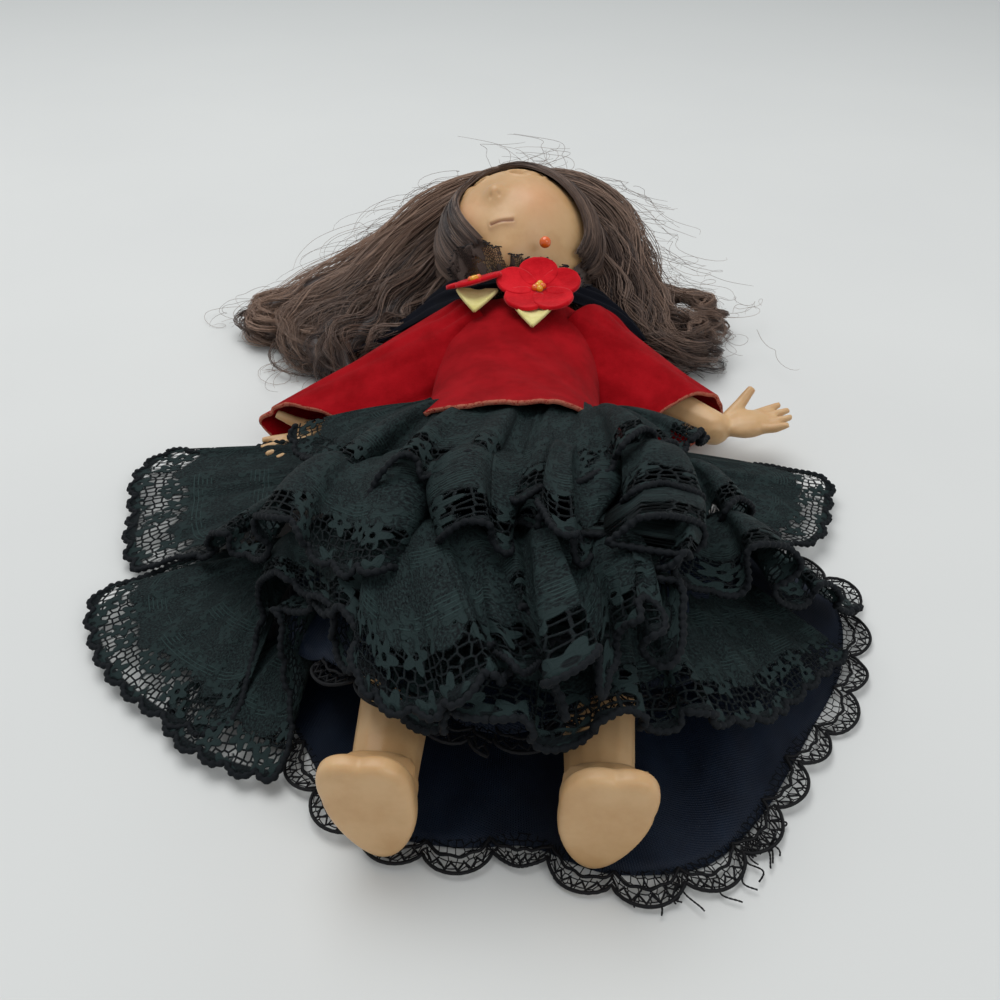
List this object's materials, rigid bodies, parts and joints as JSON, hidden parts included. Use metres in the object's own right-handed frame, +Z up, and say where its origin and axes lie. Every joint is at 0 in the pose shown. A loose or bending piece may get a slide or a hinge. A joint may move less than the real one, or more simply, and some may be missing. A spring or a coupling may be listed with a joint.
{
  "type": "doll",
  "caption": "Small jointed play doll lying on its back, in a red felt blouse and a black lace skirt of tiered ruffles.",
  "frame": {"origin": "on the floor, under the middle of the waist, at the back of the waistband", "axes": "+Z up from the floor, +Y towards the doll's head, +X towards the doll's own left hand"},
  "size_m": [0.162, 0.2064, 0.0486],
  "materials": {
    "vinyl": "satin",
    "body_plastic": "satin",
    "hair": "fibre",
    "red_felt": "felt",
    "flower_felt": "felt",
    "leaf_felt": "felt",
    "bead": "glossy",
    "black_lace": "lace",
    "black_satin": "satin",
    "steel": "satin",
    "lead": "dull"
  },
  "bodies": {
    "body": {"torso_front": "body_plastic", "torso_back": "body_plastic", "bodice_front": "red_felt", "bodice_back": "red_felt", "waistband_front": "black_satin", "waistband_back": "black_satin", "shawl": "black_satin", "neck_frill": "black_lace", "flower_left_petals": "flower_felt", "flower_left_centre": "bead", "flower_left_leaf": "leaf_felt", "flower_right_petals": "flower_felt", "flower_right_centre": "bead", "flower_right_leaf": "leaf_felt", "bead": "bead", "underskirt_back": "black_satin", "hem_trim_back": "black_lace", "underskirt_front": "black_satin", "hem_trim_front": "black_lace", "tier_1_front": "black_lace", "tier_2_front": "black_lace", "tier_3_front": "black_lace", "tier_4_front": "black_lace", "tier_2_right": "black_lace", "tier_2_left": "black_lace", "tier_3_right": "black_lace", "tier_3_left": "black_lace", "tier_4_right": "black_lace"},
    "head": {"head_shell": "vinyl", "hair_cap": "hair", "hair_left_sweep": "hair", "hair_left_curl": "hair", "hair_right_sweep": "hair", "hair_right_curl": "hair"},
    "eyes": {"eye_left": "vinyl", "eye_right": "vinyl", "eye_rod": "steel", "eye_weight": "lead"},
    "arm_left": {"arm_left": "vinyl", "sleeve_left_front": "red_felt", "sleeve_left_back": "red_felt"},
    "arm_right": {"arm_right": "vinyl", "sleeve_right_front": "red_felt", "sleeve_right_back": "red_felt"},
    "leg_left": {"leg_left": "vinyl"},
    "leg_right": {"leg_right": "vinyl"}
  },
  "joints": [
    {"name": "neck_turn", "type": "hinge", "parent": "body", "child": "head", "pos_m": [0, 0.046, 0.0146], "axis": [0, 1, 0], "range_deg": [-43, 77], "deforming": ["hair_left_sweep", "hair_left_curl", "hair_right_sweep", "hair_right_curl"]},
    {"name": "eyes_tilt", "type": "hinge", "parent": "head", "child": "eyes", "pos_m": [-0.00839, 0.0785, 0.04205], "axis": [-0.9563, 0, -0.2924], "range_deg": [0, 55]},
    {"name": "shoulder_left", "type": "hinge", "parent": "body", "child": "arm_left", "pos_m": [0.0153, 0.037, 0.0146], "axis": [-1, 0, 0], "range_deg": [0, 120]},
    {"name": "shoulder_right", "type": "hinge", "parent": "body", "child": "arm_right", "pos_m": [-0.0153, 0.037, 0.0146], "axis": [-1, 0, 0], "range_deg": [0, 120]},
    {"name": "hip_left", "type": "hinge", "parent": "body", "child": "leg_left", "pos_m": [0.0088, -0.016, 0.0146], "axis": [-1, 0, 0], "range_deg": [0, 85], "deforming": ["underskirt_front", "hem_trim_front", "tier_1_front", "tier_2_front", "tier_3_front", "tier_4_front"]},
    {"name": "hip_right", "type": "hinge", "parent": "body", "child": "leg_right", "pos_m": [-0.0088, -0.016, 0.0146], "axis": [-1, 0, 0], "range_deg": [0, 85], "deforming": ["underskirt_front", "hem_trim_front", "tier_1_front", "tier_2_front", "tier_3_front", "tier_4_front"]}
  ]
}
